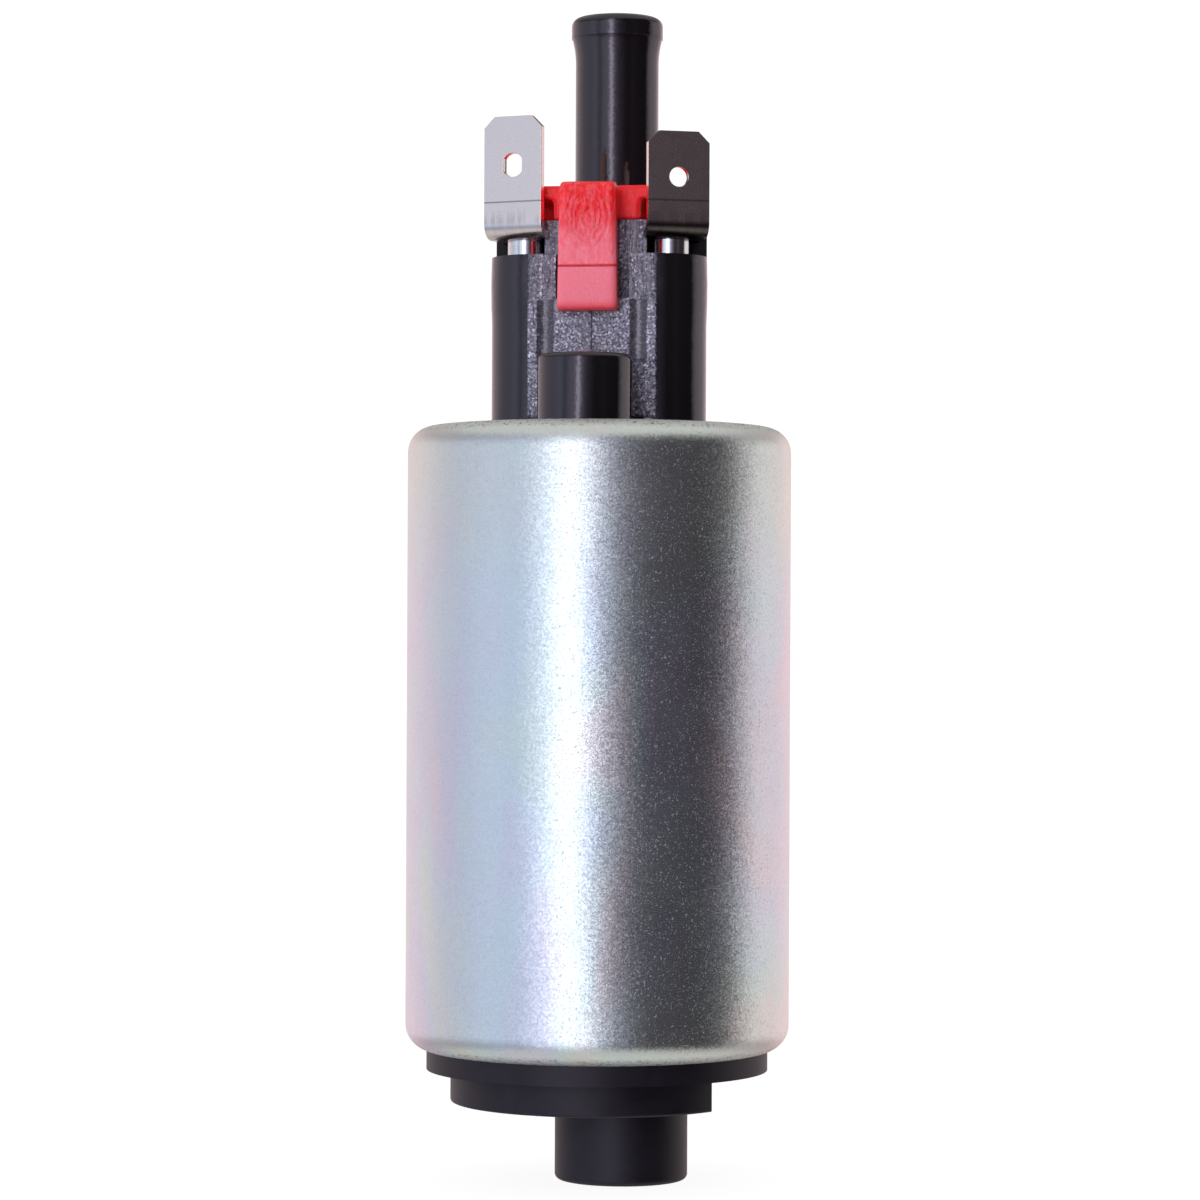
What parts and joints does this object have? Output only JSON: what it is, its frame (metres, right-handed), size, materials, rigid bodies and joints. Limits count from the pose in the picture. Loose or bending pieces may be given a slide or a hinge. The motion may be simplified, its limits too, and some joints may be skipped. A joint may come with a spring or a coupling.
{
  "type": "electric fuel pump",
  "caption": "In-tank electric fuel pump: rolled steel can, inlet cover, outlet cap with hose tube and blade terminals, rotor pumping set and motor inside.",
  "frame": {"origin": "on the can's axis, at the height of the inlet stub's lower end", "axes": "+Z along the can from the inlet to the outlet, +X towards the right terminal, -Y towards the side of the terminal clip's tongue"},
  "size_m": [0.039, 0.039, 0.12],
  "materials": {
    "can_zinc": "satin, zinc plated",
    "cap_plastic": "black, part smooth and part spark-eroded",
    "cover_plastic": "black, satin",
    "clip_plastic": "red, satin",
    "terminal_tin": "tin plated",
    "post_tin": "tin plated, turned",
    "plate_aluminium": "machined",
    "sintered_steel": "sintered and ground",
    "flux_steel": "bare",
    "magnet_ferrite": "matt",
    "spring_steel": "bright",
    "seal_rubber": "matt",
    "bearing_bronze": "sintered",
    "bearing_plastic": "natural",
    "shaft_steel": "ground",
    "core_steel": "stacked sheet",
    "winding_copper": "enamelled copper wire",
    "bar_copper": "turned copper",
    "base_plastic": "moulded",
    "brush_carbon": "matt",
    "valve_plastic": "natural",
    "plug_brass": "turned"
  },
  "bodies": {
    "housing": {"steel_can": "can_zinc", "outlet_cap": "cap_plastic", "inlet_cover": "cover_plastic", "inlet_plate": "plate_aluminium", "rotor_ring": "sintered_steel", "outlet_plate": "plate_aluminium", "dowel_pins": "shaft_steel", "flux_ring": "flux_steel", "magnet_front": "magnet_ferrite", "magnet_rear": "magnet_ferrite", "magnet_clips": "spring_steel", "inlet_seal": "seal_rubber", "outlet_seal": "seal_rubber", "lower_bearing": "bearing_bronze", "upper_bearing": "bearing_bronze", "thrust_pad": "bearing_plastic", "brush_spring_left": "spring_steel", "brush_spring_right": "spring_steel", "brush_shunt_left": "bar_copper", "brush_shunt_right": "bar_copper", "terminal_post_left": "post_tin", "terminal_post_right": "post_tin", "terminal_blade_left": "terminal_tin", "terminal_blade_right": "terminal_tin", "terminal_clip": "clip_plastic", "check_spring": "spring_steel", "check_guide": "valve_plastic", "relief_spring": "spring_steel", "relief_plug": "plug_brass"},
    "armature": {"armature_shaft": "shaft_steel", "armature_core": "core_steel", "core_insulators": "bearing_plastic", "armature_windings": "winding_copper", "commutator_base": "base_plastic", "commutator_bars": "bar_copper", "drive_coupling": "bearing_plastic", "inner_rotor": "sintered_steel", "thrust_washer": "bearing_plastic"},
    "pump_outer_rotor": {"outer_rotor": "sintered_steel"},
    "left_brush": {"brush_left": "brush_carbon"},
    "right_brush": {"brush_right": "brush_carbon"},
    "check_valve": {"check_poppet": "valve_plastic", "check_face": "seal_rubber"},
    "relief_valve": {"relief_ball": "shaft_steel"}
  },
  "joints": [
    {"name": "armature_spin", "type": "hinge", "parent": "housing", "child": "armature", "pos_m": [0, 0, 0.045], "axis": [0, 0, 1], "continuous": true},
    {"name": "outer_rotor_spin", "type": "hinge", "parent": "housing", "child": "pump_outer_rotor", "pos_m": [0.00105, 0, 0.0248], "axis": [0, 0, 1], "continuous": true},
    {"name": "left_brush_slide", "type": "slide", "parent": "housing", "child": "left_brush", "axis": [0, 0, 1], "range_m": [0, 0.005], "stiffness_N_per_m": 100, "springref_m": -0.008, "deforming": ["brush_spring_left", "brush_shunt_left"]},
    {"name": "right_brush_slide", "type": "slide", "parent": "housing", "child": "right_brush", "axis": [0, 0, 1], "range_m": [0, 0.005], "stiffness_N_per_m": 100, "springref_m": -0.008, "deforming": ["brush_spring_right", "brush_shunt_right"]},
    {"name": "check_valve_lift", "type": "slide", "parent": "housing", "child": "check_valve", "axis": [0, 0, 1], "range_m": [0, 0.002], "stiffness_N_per_m": 30, "springref_m": -0.005, "deforming": ["check_spring"]},
    {"name": "relief_valve_lift", "type": "slide", "parent": "housing", "child": "relief_valve", "axis": [0, 0, 1], "range_m": [0, 0.0012], "stiffness_N_per_m": 2000, "springref_m": -0.002, "deforming": ["relief_spring"]}
  ],
  "couplings": [
    {"joint": "outer_rotor_spin", "follows": "armature_spin", "ratio": 0.85714}
  ]
}
